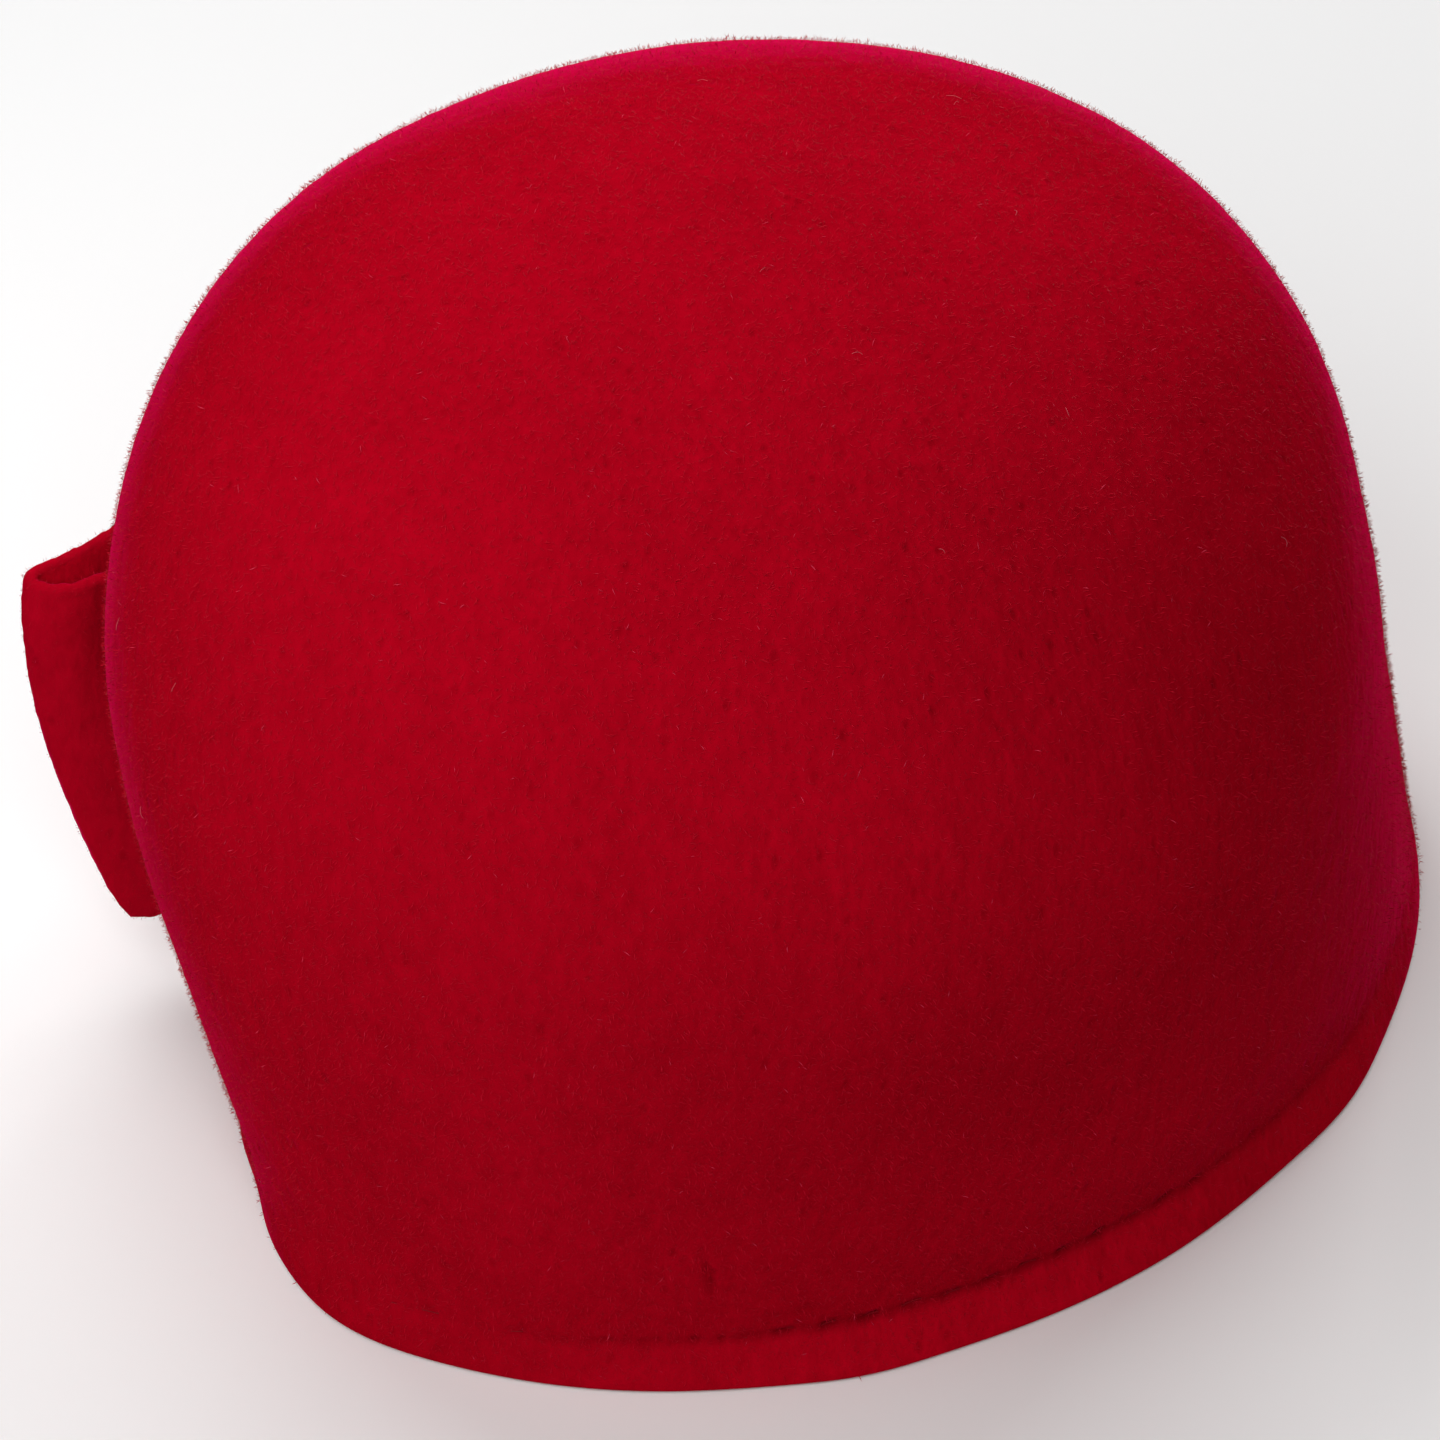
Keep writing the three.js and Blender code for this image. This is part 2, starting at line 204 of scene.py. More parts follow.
# Crown: one blocked shell through oval sections, with its edge turned in as a hem
crown = {
    "sections": {
        "height": [0, 10, 32, 65, 94, 120, 141, 155.5, 162],
        "halfWidth": [79, 78, 83, 88.5, 90, 83, 66.5, 37, 0],
        "toBack": [105, 104, 105, 107, 104, 92.5, 73.5, 45.5, 0],
        "toFront": [115, 114.5, 109, 101.5, 97.5, 94, 78, 45, 0],
    },
    "widestLine": 5,  # behind the middle of the head opening
    "leanBack": 22,
    "leanLeft": 9.5,
    "rimPower": 1.9,
    "felt": 2.4,
    "hemWidth": 9.5,
    "hemSlit": 0.5,
    "hemCorner": 0.5,  # the turned-in layer's upper corners are cut off by this much
    "hemBulge": 0.35,
    "seamDip": 2.0,
    "seamReach": 9,  # the wall swings back out over this height
    "seamDeepest": 160,  # azimuth; the crease and its stitches fade out to both sides
    "seamFade": 37,
    "seamFrom": 5,  # rows are finest between these two heights
    "seamTop": 14,
    "seamStep": 0.5,
    "napStart": (1.2, 3.5),  # the nap comes in between these heights, clear of the rim
    # painted shade: how much a stitch dip, the crease and the dart darken the felt's colour
    "paintedShadeBy": {"stitch": 0.45, "crease": 0.25, "dart": 0.4},
    "creaseReach": 1.1,  # of the crease's painted shade, up and down
    "edgeRound": 0.9,
    "squareFrom": 28,  # above this height the felt's thickness is square to the wall
    "columns": 400,
    "columnGather": 0.62,  # draws the columns together at the dart
    "outerStep": 1.6,
    "innerStep": 4.2,
    "climbSteps": 3000,  # for measuring the way up the wall
    "paintedShadeAndLightClouds": [  # broad patches of painted shade and painted light, a little darker or lighter
        {"azimuth": 165, "height": 58, "across": 60, "up": 22, "share": 0.25, "darker": True},
        {"azimuth": 148, "height": 115, "across": 45, "up": 25, "share": 0.16, "darker": False},
    ],
    # painted light on the hem: its colour is made lighter over part of its way round
    "hemPaintedLight": 0.5,
    "paintedLightStart": (105, 165),  # azimuths between which the hem's painted light comes and goes
    "paintedLightEnd": (195, 230),
    "paintedLightEdge": (-2.5, 0.5),  # and heights from the top of the hem between which it ends
    "dentRange": 4,  # a dent is worked out within this many times its reach
    "dents": [  # the first is the dart; a bulge has a depth below zero
        {"azimuth": 133, "height": 24, "across": 0.5, "up": 5, "depth": 1.2, "lean": 0.2},
        {"azimuth": 136, "height": 38, "across": 11, "up": 6, "depth": 0.6},
        {"azimuth": 128, "height": 28, "across": 6, "up": 10, "depth": 0.5},
        {"azimuth": 168, "height": 104, "across": 55, "up": 30, "depth": -2.3},
        {"azimuth": 262, "height": 157, "across": 18, "up": 15, "depth": 1.9},
        {"azimuth": 66, "height": 1, "across": 10, "up": 10, "depth": 1.4},
        {"azimuth": 92, "height": 1, "across": 16, "up": 10, "depth": -1.7},
        {"azimuth": 146, "height": 1, "across": 12, "up": 9, "depth": -1.0},
        {"azimuth": 203, "height": 1, "across": 16, "up": 12, "depth": -1.3},
    ],
}
# Hem stitches: dashes of thread that pull the felt in along the top of the hem
stitches = {
    "pitch": 6.8,
    "length": 2.9,
    "lengthSpread": 0.35,
    "thread": 0.22,
    "slant": 0.15,
    "slantSpread": 0.1,
    "wander": 0.4,
    "dip": 0.6,
    "dipSpread": 0.6,
    "dipReach": 0.9,
    "pullEnds": (0.3, 0.6),  # shares of its length, from its middle, between which it lets the felt go
    "spanShare": 0.42,  # of its length, from a stitch's middle to either end
    "sagShare": 0.5,  # the thread's sag, as a share of the dip
    "bendShare": 0.6,  # of the sag; a thread's ends are bent up by this and its middle is drawn down
    "sunkShare": 0.3,  # of the thread, below the felt's surface
    "faintest": 0.08,  # share of its depth that a stitch keeps away from the crease
    "colour": (0.21, 0.0004, 0.005),
    "seed": 7,
}
tableSteps = 4001  # for reading rows and azimuths off the form
apexRow = len(crown["sections"]["height"]) - 1
crownHeight = crown["sections"]["height"][-1]


# Smooth curve through one column of the section table, mirrored past the apex
def sectionValue(column, row):
    known = crown["sections"][column]
    mirror = 1 if column == "height" else -1
    around = [2 * known[0] - known[1], *known, mirror * known[-2]]
    k = np.clip(np.floor(row), 0, apexRow - 1).astype(int)
    t = row - k
    a, b, c, d = (np.take(around, k + step) for step in range(4))
    return b + 0.5 * t * (c - a + t * (2 * a - 5 * b + 4 * c - d + t * (3 * b - a - 3 * c + d)))


def rowAt(height):
    rows = np.linspace(0, apexRow, tableSteps)
    return np.interp(height, sectionValue("height", rows), rows)


def formPoint(azimuth, row):
    height = sectionValue("height", row)
    rise = height / crownHeight
    power = crown["rimPower"] + (2 - crown["rimPower"]) * np.minimum(2 * rise, 1)
    across = np.sign(np.cos(azimuth)) * np.abs(np.cos(azimuth)) ** (2 / power)
    along = np.sign(np.sin(azimuth)) * np.abs(np.sin(azimuth)) ** (2 / power)
    length = np.where(along > 0, sectionValue("toBack", row), sectionValue("toFront", row))
    x = crown["leanLeft"] * rise + sectionValue("halfWidth", row) * across
    y = crown["widestLine"] + crown["leanBack"] * rise + length * along
    return np.stack(np.broadcast_arrays(x, y, height), axis=-1)


def unit(vectors):
    return vectors / np.linalg.norm(vectors, axis=-1, keepdims=True)


def formNormal(azimuth, row):
    step = 1e-3
    across = formPoint(azimuth + step, row) - formPoint(azimuth - step, row)
    upward = formPoint(azimuth, row + step) - formPoint(azimuth, row - step)
    return unit(np.cross(across, upward))


# How far along a line each of its points lies
def walkedAlong(line):
    return np.concatenate([[0], np.cumsum(np.linalg.norm(np.diff(line, axis=0), axis=1))])


def bell(distance, reach):
    return np.exp(-((distance / reach) ** 2))


def smoothStep(value, low, high):
    share = np.clip((value - low) / (high - low), 0, 1)
    return share * share * (3 - 2 * share)


# Where each hem stitch lies: its middle along the hem, its height, slant and depth
def layStitches():
    chance = np.random.default_rng(stitches["seed"])
    azimuths = np.linspace(0, 2 * math.pi, tableSteps)
    line = formPoint(azimuths, rowAt(crown["hemWidth"]))
    walked = walkedAlong(line)
    count = round(walked[-1] / stitches["pitch"])
    pitch = walked[-1] / count
    return {
        "azimuths": azimuths,
        "walked": walked,
        "pitch": pitch,
        "middle": (np.arange(count) + 0.5) * pitch,
        "height": crown["hemWidth"] + chance.normal(0, stitches["wander"], count),
        "slant": stitches["slant"] + chance.normal(0, stitches["slantSpread"], count),
        "depth": stitches["dip"] * (1 + stitches["dipSpread"] * chance.uniform(-1, 1, count)),
        "stretch": 1 + stitches["lengthSpread"] * chance.uniform(-1, 1, count),
    }


laid = layStitches()


# Share of its full depth that the crease has at an azimuth
def creaseShare(azimuth):
    away = np.mod(np.degrees(azimuth) - crown["seamDeepest"] + 180, 360) - 180
    return bell(away, crown["seamFade"])


def stitchShare(azimuth):
    return stitches["faintest"] + (1 - stitches["faintest"]) * creaseShare(azimuth)


# How far the nearest hem stitch pulls the felt in
def stitchPull(azimuth, height):
    along = np.interp(np.mod(azimuth, 2 * math.pi), laid["azimuths"], laid["walked"])
    k = np.minimum(along // laid["pitch"], len(laid["middle"]) - 1).astype(int)
    offset = along - laid["middle"][k]
    line = laid["height"][k] + laid["slant"][k] * offset
    length = stitches["length"] * laid["stretch"][k]
    pulled = 1 - smoothStep(np.abs(offset) / length, *stitches["pullEnds"])
    return stitchShare(azimuth) * laid["depth"][k] * pulled * bell(height - line, stitches["dipReach"])


# Depth of the crease above the hem: the hem flares out below it and the wall swings out above it
def seamDepth(azimuth, height):
    above = height - crown["hemWidth"]
    shape = np.where(above < 0, height / crown["hemWidth"], np.exp(-above / crown["seamReach"]))
    return crown["seamDip"] * creaseShare(azimuth) * shape


def dentShape(dent, points):
    azimuth, row = math.radians(dent["azimuth"]), rowAt(dent["height"])
    normal = formNormal(azimuth, row)
    sideways = unit(np.array([-normal[1], normal[0], 0]))
    upward = np.cross(normal, sideways)
    away = points - formPoint(azimuth, row)
    near = np.linalg.norm(away, axis=-1) < crown["dentRange"] * max(dent["across"], dent["up"])
    aside = away @ sideways + dent.get("lean", 0) * (away @ upward)
    return bell(aside, dent["across"]) * bell(away @ upward, dent["up"]) * near


# How far the felt stands proud of the blocked form
def relief(azimuth, points):
    height = points[..., 2]
    proud = crown["hemBulge"] * bell(height - crown["hemWidth"] / 2, crown["hemWidth"] / 2)
    proud = proud - seamDepth(azimuth, height) - stitchPull(azimuth, height)
    return proud - sum(dent["depth"] * dentShape(dent, points) for dent in crown["dents"])


# How much painted shade a stitch dip, the crease or the dart gives the felt
def paintedShadeShare(azimuth, points):
    height = points[..., 2]
    by = crown["paintedShadeBy"]
    crease = seamDepth(azimuth, height) * bell(height - crown["hemWidth"], crown["creaseReach"])
    share = by["stitch"] * stitchPull(azimuth, height) / stitches["dip"] + by["crease"] * crease
    return np.clip(share + by["dart"] * dentShape(crown["dents"][0], points), 0, 1)


# Rows that climb the wall in even steps, without the apex
def evenRows(fromHeight, step):
    rows = np.linspace(rowAt(fromHeight), apexRow, crown["climbSteps"])
    line = formPoint(math.pi / 2, rows)
    walked = walkedAlong(line)
    count = round(walked[-1] / step)
    return np.interp(np.arange(count) * walked[-1] / count, walked, rows)


# Rings from the inside of the apex round the hem to the outside: row, inset from the form, share of nap
def crownRings():
    felt, hem, slit, rounding = (crown[k] for k in ("felt", "hemWidth", "hemSlit", "edgeRound"))
    corner, seamFrom, seamTop = (crown[k] for k in ("hemCorner", "seamFrom", "seamTop"))
    inner = 2 * felt + slit
    rings = [(row, felt, 0.0) for row in evenRows(seamTop, crown["innerStep"])[::-1]]
    rings += [(rowAt(h), felt, 0.0) for h in np.linspace(hem, felt, 4)]
    rings += [(rowAt(h), felt + slit, 0.0) for h in np.linspace(felt, hem - corner, 4)]
    rings += [(rowAt(hem), felt + slit + corner, 0.0), (rowAt(hem), inner - corner, 0.0)]
    rings += [(rowAt(h), inner, 0.0) for h in np.linspace(hem - corner, rounding, 6)]
    for turn in np.linspace(0, math.pi / 2, 5)[1:]:
        rings.append((rowAt(rounding * (1 - math.sin(turn))), inner - rounding * (1 - math.cos(turn)), 0.0))
    for turn in np.linspace(0, math.pi / 2, 5)[:-1]:
        rings.append((rowAt(rounding * (1 - math.cos(turn))), rounding * (1 - math.sin(turn)), 0.0))
    rings += [
        (rowAt(h), 0.0, smoothStep(h, *crown["napStart"]))
        for h in np.linspace(rounding, seamFrom, 5)[:-1]
    ]
    rings += [(rowAt(h), 0.0, 1.0) for h in np.arange(seamFrom, seamTop, crown["seamStep"])]
    rings += [(row, 0.0, 1.0) for row in evenRows(seamTop, crown["outerStep"])]
    return (np.array(column)[:, None] for column in zip(*rings))


# Shares of painted shade and painted light over the crown
def crownPaintedShadeAndLight(azimuth, points, outside):
    paintedShade = paintedShadeShare(azimuth, points) * outside
    overHem = points[..., 2] - crown["hemWidth"]
    paintedLight = crown["hemPaintedLight"] * (1 - smoothStep(overHem, *crown["paintedLightEdge"]))
    turned = np.mod(np.degrees(azimuth), 360)
    paintedLight = paintedLight * smoothStep(turned, *crown["paintedLightStart"])
    paintedLight = paintedLight * (1 - smoothStep(turned, *crown["paintedLightEnd"]))
    for patch in crown["paintedShadeAndLightClouds"]:
        cloud = patch["share"] * dentShape(patch, points) * outside
        if patch["darker"]:
            paintedShade = np.maximum(paintedShade, cloud)
        else:
            paintedLight = np.maximum(paintedLight, cloud)
    return paintedShade, paintedLight


def makeCrown():
    rows, insets, naps = crownRings()
    columns = crown["columns"]
    even = np.linspace(0, 2 * math.pi, columns, endpoint=False)
    dart = math.radians(crown["dents"][0]["azimuth"])
    azimuth = (even - crown["columnGather"] * np.sin(even - dart))[None, :]
    points = formPoint(azimuth, rows)
    outward = formNormal(azimuth, rows)
    outward[..., 2] *= smoothStep(points[..., 2], crown["hemWidth"], crown["squareFrom"])
    outward = unit(outward)
    paintedShade, paintedLight = crownPaintedShadeAndLight(azimuth, points, insets == 0)
    points = points + outward * (relief(azimuth, points) - insets)[..., None]
    points[..., 2] = np.maximum(points[..., 2], 0)
    apex = formPoint(0.0, float(apexRow))
    allPoints = np.concatenate([points.reshape(-1, 3), [apex, apex - [0, 0, crown["felt"]]]])
    numbers = np.arange(points.shape[0] * columns).reshape(points.shape[:2])
    after = np.roll(numbers, -1, axis=1)
    faces = np.stack([numbers[:-1], after[:-1], after[1:], numbers[1:]], axis=-1).reshape(-1, 4).tolist()
    outerApex, innerApex = len(allPoints) - 2, len(allPoints) - 1
    faces += [(a, b, outerApex) for a, b in zip(numbers[-1].tolist(), after[-1].tolist())]
    faces += [(b, a, innerApex) for a, b in zip(numbers[0].tolist(), after[0].tolist())]
    piece = meshPiece("crown_block", allPoints, faces, crownFelt)
    naps = np.broadcast_to(naps, paintedShade.shape)
    for name, values in (("nap", naps), ("paintedShade", paintedShade), ("paintedLight", paintedLight)):
        setPointValues(piece, name, np.concatenate([values.ravel(), [name == "nap", 0]]))
    return piece


crownBlock = makeCrown()
print("crown blocked:", len(crownBlock.data.polygons), "faces")


# Bow: a wide strip in two loops, held to the crown by a narrow strip round its middle
bow = {
    "azimuth": 17,
    "reach": 60,  # degrees of the crown to either side that it can lie on
    "reachSteps": 2400,
    "height": 47.5,
    "felt": 2.0,
    "bandWidth": 67,
    "openedShare": 0.45,  # of the way from knot to fold, where the band has its full width
    "pinchedShare": 0.72,  # of its width, under the knot
    # One loop in plan: each corner's place along the crown from the knot and out from the crown, how far
    # its bend reaches, its share of the fold's lift, and its swing along from the bottom edge to the top
    "corners": [
        {"name": "bend by the knot", "along": 25, "out": 7.2, "bend": 9, "lifted": 0.0, "swung": 0},
        {"name": "fold", "along": 39, "out": 20.2, "bend": 3.8, "lifted": 1.0, "swung": 0},
        {"name": "blunt end", "along": 38.3, "out": 11.5, "bend": 4.2, "lifted": 0.5, "swung": 5},
        {"name": "heel", "along": 31.5, "out": 2.6, "bend": 4.5, "lifted": 0.0, "swung": 0},
    ],
    "foldBelly": 2.7,  # how far the fold is lifted halfway up
    "foldLean": -4.5,  # and how much more at its top edge than at its bottom edge
    "lowerRise": 3.2,  # the lower edge is drawn up between the knot and the fold
    "riseStart": (0.1, 0.5),  # shares of the way to the fold between which it rises and falls again
    "riseEnd": (0.78, 1.02),
    "cornerDrawn": 0.035,  # a loop is drawn in towards the knot by this share at its cut edges
    "cornerReach": 3.0,
    # painted light on the band's inner face, which lies inside the loops
    "insidePaintedLight": 0.6,
    "layerGap": 0.5,
    "seatGap": 0.35,
    "bendSteps": 14,
    "loopSteps": 110,
    "bandRows": 70,
    "edgeSteps": 6,
    "frayed": 2.5,  # a cut edge has this many times the nap and the unevenness
    "knotWidth": 18,
    "knotDepth": 3.4,
    "knotSlack": 1.2,
    "knotRound": 2,
    "knotSwell": 0.8,
    "knotRows": 16,
    "knotSideSteps": 44,
    "knotCornerSteps": 8,
}
bowSeat = bow["knotDepth"] + bow["felt"] + bow["seatGap"]


# A point of the bow: along the crown from the knot, level out from the crown, and its height
def bowPoint(along, out, height):
    around = np.linspace(-bow["reach"], bow["reach"], bow["reachSteps"] + 1)
    azimuths = np.radians(bow["azimuth"] + around)
    line = formPoint(azimuths, rowAt(bow["height"]))
    walked = walkedAlong(line)
    azimuth = np.interp(along, walked - np.interp(math.radians(bow["azimuth"]), azimuths, walked), azimuths)
    row = rowAt(height)
    level = formNormal(azimuth, row) * [1, 1, 0]
    return formPoint(azimuth, row) + unit(level) * np.asarray(out)[..., None]


# Closed profile of a strip: share of its width, and side of its middle plane from 1 to -1
def stripProfile(width, rows):
    edge = bow["felt"] / 2 / width
    shares = np.linspace(edge, 1 - edge, rows + 1)
    turns = np.linspace(0, math.pi, bow["edgeSteps"] + 2)[1:-1]
    bulge = edge * np.sin(turns)
    share = np.concatenate([shares, 1 - edge + bulge, shares[::-1], edge - bulge])
    side = np.concatenate([shares * 0 + 1, np.cos(turns), shares * 0 - 1, -np.cos(turns)])
    return share, side


# A strip closed round its profile and along its line; rows of points are one profile place each
def stripPiece(name, points, sides):
    numbers = np.arange(points.shape[0] * points.shape[1]).reshape(points.shape[:2])
    right = np.roll(numbers, -1, axis=1)
    above = np.roll(numbers, -1, axis=0)
    corner = np.roll(right, -1, axis=0)
    faces = np.stack([numbers, right, corner, above], axis=-1).reshape(-1, 4).tolist()
    piece = meshPiece(name, points.reshape(-1, 3), faces, bowFelt)
    frayed = np.where(np.abs(sides) < 1, bow["frayed"], 1.0)
    # Painted light on the face that lies inside the loops
    paintedLight = np.where(sides == -1, bow["insidePaintedLight"], 0.0)
    for use, values in (("nap", frayed), ("paintedLight", paintedLight)):
        setPointValues(piece, use, np.repeat(values, points.shape[1]))
    return piece


# Middle line of the band at one level, with half a felt to the given side
def bandLine(share, side):
    lift = bow["foldBelly"] * (1 - (2 * share - 1) ** 2) + bow["foldLean"] * (share - 0.5)
    apart = (bow["felt"] + bow["layerGap"]) / 2
    corners = [
        (row["along"] + row["swung"] * (share - 0.5), row["out"] + row["lifted"] * lift)
        for row in bow["corners"]
    ]
    corners = np.array([(0, bowSeat + apart), *corners, (0, bowSeat - apart)])
    line = [corners[:1]]
    turns = np.linspace(0, 1, bow["bendSteps"] + 1)[:, None]
    for before, here, after, row in zip(corners, corners[1:], corners[2:], bow["corners"]):
        enter, leave = (here + unit(other - here) * row["bend"] for other in (before, after))
        line.append((1 - turns) ** 2 * enter + 2 * turns * (1 - turns) * here + turns ** 2 * leave)
    line = np.concatenate([*line, corners[-1:]])
    walked = walkedAlong(line)
    steps = walked[-1] * (np.arange(bow["loopSteps"]) + 0.5) / bow["loopSteps"]
    along, out = (np.interp(steps, walked, line[:, k]) for k in (0, 1))
    along, out = np.concatenate([along, -along[::-1]]), np.concatenate([out, out[::-1]])
    run = np.roll(along, -1) - np.roll(along, 1)
    rise = np.roll(out, -1) - np.roll(out, 1)
    half = side * bow["felt"] / 2 / np.hypot(run, rise)
    return along - half * rise, out + half * run


def makeBand():
    rows = []
    shares, sides = stripProfile(bow["bandWidth"], bow["bandRows"])
    for share, side in zip(shares, sides):
        along, out = bandLine(share, side)
        halfKnot = bow["knotWidth"] / 2
        beyond = np.maximum(0, np.abs(along) - halfKnot) / (bow["corners"][1]["along"] - halfKnot)
        opened = smoothStep(beyond, 0, bow["openedShare"])
        width = bow["bandWidth"] * (bow["pinchedShare"] + (1 - bow["pinchedShare"]) * opened)
        drawn = smoothStep(beyond, *bow["riseStart"]) - smoothStep(beyond, *bow["riseEnd"])
        height = bow["height"] + (share - 0.5) * width + bow["lowerRise"] * (1 - share) ** 2 * drawn
        fromEdge = min(share, 1 - share) * bow["bandWidth"]
        along = along * (1 - bow["cornerDrawn"] * bell(fromEdge, bow["cornerReach"]))
        rows.append(bowPoint(along, out, height))
    return stripPiece("bow_band_cut", np.array(rows), sides)


# Round-cornered oblong of the knot's strip, a given distance out from its inner face
def knotLine(distance):
    halfHeight = bow["pinchedShare"] * bow["bandWidth"] / 2 + bow["knotSlack"]
    radius, depth = bow["knotRound"], bow["knotDepth"]
    up, out = [], []
    for quarter, (upSide, outSide) in enumerate([(1, 1), (-1, 1), (-1, -1), (1, -1)]):
        turns = math.pi / 2 * (quarter + np.linspace(0, 1, bow["knotCornerSteps"] + 1))
        up.append(upSide * (halfHeight - radius) + (radius + distance) * np.cos(turns))
        out.append(outSide * (depth - radius) + (radius + distance) * np.sin(turns))
        if quarter % 2 == 0:
            side = np.linspace(up[-1][-1], -up[-1][-1], bow["knotSideSteps"] + 1)[1:-1]
            up.append(side)
            out.append(np.full(len(side), out[-1][-1]))
    up, out = np.concatenate(up), np.concatenate(out)
    swell = bow["knotSwell"] * np.cos(math.pi / 2 * up / (halfHeight + distance))
    return up, out + np.where(out > 0, swell, 0)


def makeKnot():
    rows = []
    shares, sides = stripProfile(bow["knotWidth"], bow["knotRows"])
    for share, side in zip(shares, sides):
        up, out = knotLine(bow["felt"] * (1 + side) / 2)
        along = np.full(len(up), bow["knotWidth"] * (share - 0.5))
        rows.append(bowPoint(along, bowSeat + out, bow["height"] + up))
    return stripPiece("bow_knot_cut", np.array(rows), sides)


bandCut = makeBand()
knotCut = makeKnot()
print("bow folded:", len(bandCut.data.polygons) + len(knotCut.data.polygons), "faces")


# A geometry tree with a mesh in and out and named inputs for its sizes
def newTree(name, sizes):
    tree = bpy.data.node_groups.new(name, "GeometryNodeTree")
    tree.interface.new_socket("Geometry", in_out="INPUT", socket_type="NodeSocketGeometry")
    for label, value in sizes.items():
        kind = "NodeSocketInt" if isinstance(value, int) else "NodeSocketFloat"
        tree.interface.new_socket(label, in_out="INPUT", socket_type=kind)
    tree.interface.new_socket("Geometry", in_out="OUTPUT", socket_type="NodeSocketGeometry")
    start = tree.nodes.new("NodeGroupInput")
    return Socket(tree), {s.name: Socket(tree, s) for s in start.outputs if s.name}


def endTree(start, geometry, material):
    real = start.node("GeometryNodeRealizeInstances", {}, {"Geometry": geometry})
    finished = start.node("GeometryNodeSetMaterial", {}, {"Geometry": real, "Material": material})
    start.node("NodeGroupOutput", {}, {"Geometry": finished})


def named(start, name, kind="FLOAT"):
    return start.node("GeometryNodeInputNamedAttribute", {"data_type": kind}, {"Name": name})


# Runs a tree on a carrier and keeps the result as a plain mesh
def grown(name, carrier, tree, sizes):
    modifier = carrier.modifiers.new(tree.name, "NODES")
    modifier.node_group = tree
    for socket in tree.interface.items_tree:
        if socket.in_out == "INPUT" and socket.name in sizes:
            modifier[socket.identifier] = sizes[socket.name]
    depsgraph = bpy.context.evaluated_depsgraph_get()
    mesh = bpy.data.meshes.new_from_object(carrier.evaluated_get(depsgraph))
    carrier.modifiers.remove(modifier)
    mesh.name = name
    piece = bpy.data.objects.new(name, mesh)
    bpy.context.scene.collection.objects.link(piece)
    return piece


def discard(*carriers):
    for carrier in carriers:
        bpy.data.objects.remove(carrier)


# Hand-blocked felt is never quite even: slow swells and fine ripples along the normal
uneven = {"Swell": 0.4, "Swell size": 38.0, "Ripple": 0.2, "Ripple size": 3.4, "Seed": 3}
bowUneven = {**uneven, "Swell": 0.25, "Ripple": 0.24, "Ripple size": 2.2}


def unevenTree(name, material):
    start, given = newTree(name, uneven)
    place = start.node("GeometryNodeInputPosition")
    normal = start.node("GeometryNodeInputNormal")
    free = named(start, "nap")

    def noise(size):
        scale = start.math("DIVIDE", 1 / mm, size)
        values = {"Vector": place, "W": given["Seed"] * 1.7, "Scale": scale, "Detail": 1.0}
        return start.node("ShaderNodeTexNoise", {"noise_dimensions": "4D"}, values)

    swell = (noise(given["Swell size"]) - 0.5) * given["Swell"]
    ripple = (noise(given["Ripple size"]) - 0.5) * given["Ripple"]
    push = (swell + ripple) * free * (2 * mm)
    offset = start.node("ShaderNodeVectorMath", {"operation": "SCALE"}, {0: normal, "Scale": push})
    moved = start.node("GeometryNodeSetPosition", {}, {"Geometry": given["Geometry"], "Offset": offset})
    endTree(start, moved, material)
    return start.tree


crownTree = unevenTree("crownUneven", crownFelt)
bowTree = unevenTree("bowUneven", bowFelt)
crownShell = grown("crown_shell", crownBlock, crownTree, uneven)
bandShell = grown("bow_band_strip", bandCut, bowTree, bowUneven)
knotShell = grown("bow_knot_strip", knotCut, bowTree, bowUneven)
discard(crownBlock, bandCut, knotCut)
print("felt made uneven")


def tubeAlong(start, line, thickness, sides):
    radius = {"Resolution": sides, "Radius": thickness * 0.5}
    ring = start.node("GeometryNodeCurvePrimitiveCircle", {}, radius)
    swept = {"Curve": line, "Profile Curve": ring, "Fill Caps": True}
    return start.node("GeometryNodeCurveToMesh", {}, swept)


# Hem stitches: one bent thread in each pulled-in dash of the hem line
def threadCarrier():
    azimuth = np.interp(laid["middle"], laid["walked"], laid["azimuths"])
    row = rowAt(laid["height"])
    points = formPoint(azimuth, row)
    outward = formNormal(azimuth, row)
    outward = unit(outward * [1, 1, 0])
    sunk = stitches["thread"] * stitches["sunkShare"]
    points = points + outward * (relief(azimuth, points) - sunk)[:, None]
    along = unit(np.cross([0, 0, 1], outward)) + [0, 0, 1] * laid["slant"][:, None]
    carrier = meshPiece("hem_line", points, [], crownFelt)
    stretched = np.stack(np.broadcast_arrays(laid["stretch"], 1, stitchShare(azimuth)), axis=-1)
    for name, vectors in (("outward", outward), ("along", along), ("stretched", stretched)):
        carrier.data.attributes.new(name, "FLOAT_VECTOR", "POINT").data.foreach_set("vector", vectors.ravel())
    return carrier


